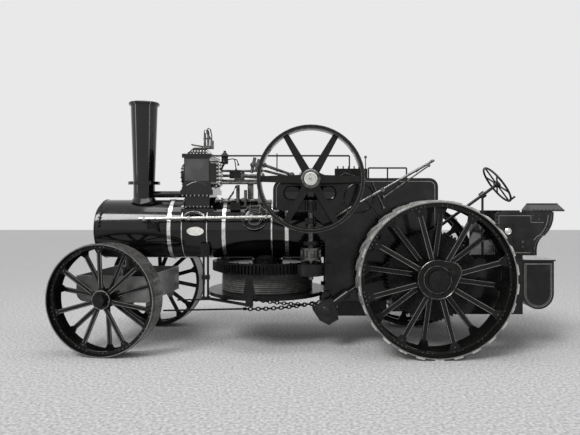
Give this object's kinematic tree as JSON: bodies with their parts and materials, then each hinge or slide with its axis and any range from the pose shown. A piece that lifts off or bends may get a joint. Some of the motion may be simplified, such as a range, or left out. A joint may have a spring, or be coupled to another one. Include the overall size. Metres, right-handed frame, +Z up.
{
  "type": "steam ploughing traction engine",
  "caption": "Steam traction engine of the ploughing type, with a winding drum under the boiler, straked rear wheels, a flywheel and chain steering.",
  "frame": {"origin": "middle of the engine's box, on the ground", "axes": "-X to the engine's front, +Z up, -Y to its left side"},
  "size_m": [6.8457, 2.4, 3.405],
  "materials": {
    "black_iron": "dull black",
    "engine_paint": "worn gloss paint",
    "wheel_paint": "worn gloss paint",
    "tread_steel": "worn by the road",
    "brass": "polished",
    "bright_steel": "machined and oiled",
    "gear_iron": "greasy",
    "wire_rope": "oily strands"
  },
  "bodies": {
    "chassis": {"smokebox": "black_iron", "chimney": "black_iron", "exhaust_pipe": "black_iron", "ashpan": "black_iron", "cross_stays": "black_iron", "drum_stud": "black_iron", "rope_guide": "black_iron", "rear_axle": "black_iron", "perch_bracket": "black_iron", "drawbar": "black_iron", "boiler_barrel": "engine_paint", "cylinder_block": "engine_paint", "firebox": "engine_paint", "hornplate_left": "engine_paint", "hornplate_right": "engine_paint", "gear_guard": "engine_paint", "shaft_brackets": "engine_paint", "worm_case": "engine_paint", "tender_body": "engine_paint", "water_tank": "engine_paint", "rear_locker": "engine_paint", "locker_lid": "engine_paint", "boiler_bands": "brass", "safety_valves": "brass", "lubricators": "brass", "motion_bars": "bright_steel", "control_rods": "bright_steel", "reversing_lever": "bright_steel", "steering_chains": "gear_iron"},
    "front_axle": {"front_axle": "black_iron", "fore_tray": "engine_paint"},
    "front_wheel_left": {"front_rim_left": "tread_steel", "front_hub_left": "wheel_paint"},
    "front_wheel_right": {"front_rim_right": "tread_steel", "front_hub_right": "wheel_paint"},
    "rear_wheel_left": {"rear_rim_left": "tread_steel", "rear_hub_left": "wheel_paint"},
    "rear_wheel_right": {"rear_rim_right": "tread_steel", "rear_hub_right": "wheel_paint"},
    "crankshaft": {"flywheel": "wheel_paint", "crankshaft": "bright_steel"},
    "vertical_shaft": {"vertical_shaft": "bright_steel"},
    "drum_pinion": {"drum_pinion": "gear_iron"},
    "winding_drum": {"winding_drum": "gear_iron", "wound_rope": "wire_rope"},
    "chain_barrel": {"chain_barrel": "black_iron"},
    "steering_column": {"steering_wheel": "black_iron"},
    "smokebox_door": {"smokebox_door": "black_iron"},
    "toolbox_lid": {"toolbox_lid": "engine_paint"}
  },
  "joints": [
    {"name": "steer", "type": "hinge", "parent": "chassis", "child": "front_axle", "pos_m": [-2.5776, 0, 0.725], "axis": [0, 0, 1], "range_deg": [-13, 27]},
    {"name": "front_wheel_left_spin", "type": "hinge", "parent": "front_axle", "child": "front_wheel_left", "pos_m": [-2.5776, 0, 0.725], "axis": [0.1219, 0.9925, 0], "continuous": true},
    {"name": "front_wheel_right_spin", "type": "hinge", "parent": "front_axle", "child": "front_wheel_right", "pos_m": [-2.5776, 0, 0.725], "axis": [0.1219, 0.9925, 0], "continuous": true},
    {"name": "rear_wheel_left_spin", "type": "hinge", "parent": "chassis", "child": "rear_wheel_left", "pos_m": [1.5624, 0, 1], "axis": [0, 1, 0], "continuous": true},
    {"name": "rear_wheel_right_spin", "type": "hinge", "parent": "chassis", "child": "rear_wheel_right", "pos_m": [1.5624, 0, 1], "axis": [0, 1, 0], "continuous": true},
    {"name": "crank_spin", "type": "hinge", "parent": "chassis", "child": "crankshaft", "pos_m": [-0.0276, 0, 2.27], "axis": [0, 1, 0], "continuous": true},
    {"name": "vertical_shaft_spin", "type": "hinge", "parent": "chassis", "child": "vertical_shaft", "pos_m": [-0.0276, -0.64202, 1.2], "axis": [0, 0, 1], "continuous": true},
    {"name": "drum_spin", "type": "hinge", "parent": "chassis", "child": "winding_drum", "pos_m": [-0.6526, 0, 0.9], "axis": [0, 0, 1], "continuous": true},
    {"name": "drum_pinion_spin", "type": "hinge", "parent": "chassis", "child": "drum_pinion", "pos_m": [-0.0276, -0.64202, 1.08], "axis": [0, 0, 1], "continuous": true},
    {"name": "chain_barrel_turn", "type": "hinge", "parent": "chassis", "child": "chain_barrel", "pos_m": [0.1764, 0, 0.518], "axis": [0, 1, 0], "range_deg": [-80, 165]},
    {"name": "steering_wheel_turn", "type": "hinge", "parent": "chassis", "child": "steering_column", "pos_m": [2.4754, -0.6, 2.208], "axis": [0.8091, 0, 0.5877], "range_deg": [-2970, 1440]},
    {"name": "smokebox_door_swing", "type": "hinge", "parent": "chassis", "child": "smokebox_door", "pos_m": [-3.0476, 0.39, 1.588], "axis": [0, 0, -1], "range_deg": [0, 110]},
    {"name": "toolbox_lid_swing", "type": "hinge", "parent": "chassis", "child": "toolbox_lid", "pos_m": [3.0774, -0.214, 1.862], "axis": [-1, 0, 0], "range_deg": [0, 100]}
  ],
  "couplings": [
    {"joint": "vertical_shaft_spin", "follows": "crank_spin", "ratio": 0.5},
    {"joint": "drum_pinion_spin", "follows": "drum_spin", "ratio": -6},
    {"joint": "chain_barrel_turn", "follows": "steer", "ratio": 6},
    {"joint": "steering_wheel_turn", "follows": "steer", "ratio": -108}
  ]
}
